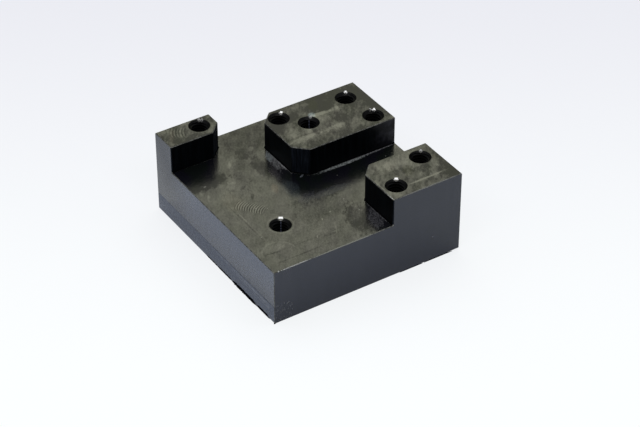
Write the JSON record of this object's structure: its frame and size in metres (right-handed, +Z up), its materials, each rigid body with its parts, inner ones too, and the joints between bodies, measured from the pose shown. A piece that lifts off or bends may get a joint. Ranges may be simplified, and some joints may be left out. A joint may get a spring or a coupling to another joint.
{
  "type": "machined mounting block",
  "caption": "Square block milled from black plastic, with raised lands around a flat milled floor and blind tapped holes for screws.",
  "frame": {"origin": "middle of the underside's bounding rectangle", "axes": "+Z up from the underside to the lands; +X to the right face, which the island and the front post run out to; +Y to the back face, which the back post stands on"},
  "size_m": [0.0444, 0.0458, 0.0191],
  "materials": {
    "black_acetal": "machined: satin side faces, dull milled tops and floor with cutter swirls"
  },
  "bodies": {
    "root": {"mounting_block": "black_acetal"}
  },
  "joints": []
}
